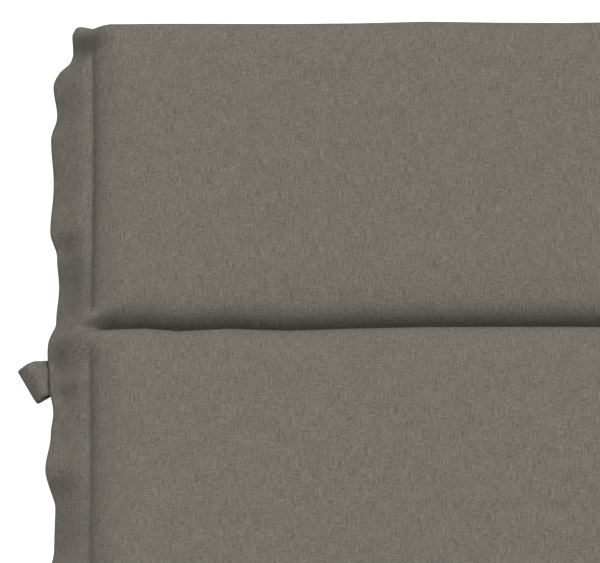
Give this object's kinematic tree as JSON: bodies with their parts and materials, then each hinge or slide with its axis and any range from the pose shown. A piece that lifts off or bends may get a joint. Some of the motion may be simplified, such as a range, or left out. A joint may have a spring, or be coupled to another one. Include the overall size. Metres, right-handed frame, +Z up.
{
  "type": "sun lounger cushion",
  "caption": "Long flat outdoor cushion with sewn channels across, loose rippled flanges along both sides and a tape loop under each flange.",
  "frame": {"origin": "centre of the underside, on the surface that the cushion lies on", "axes": "+X across the cushion, +Y along it towards the head end, +Z up out of its top face"},
  "size_m": [0.6354, 2, 0.05],
  "materials": {
    "cover_cloth": "plain woven melange outdoor cloth, matt grey taupe",
    "loop_tape": "folded strip of the same cloth, matt grey taupe"
  },
  "bodies": {
    "root": {"cushion": "cover_cloth", "tie_loop_left": "loop_tape", "tie_loop_right": "loop_tape"}
  },
  "joints": []
}
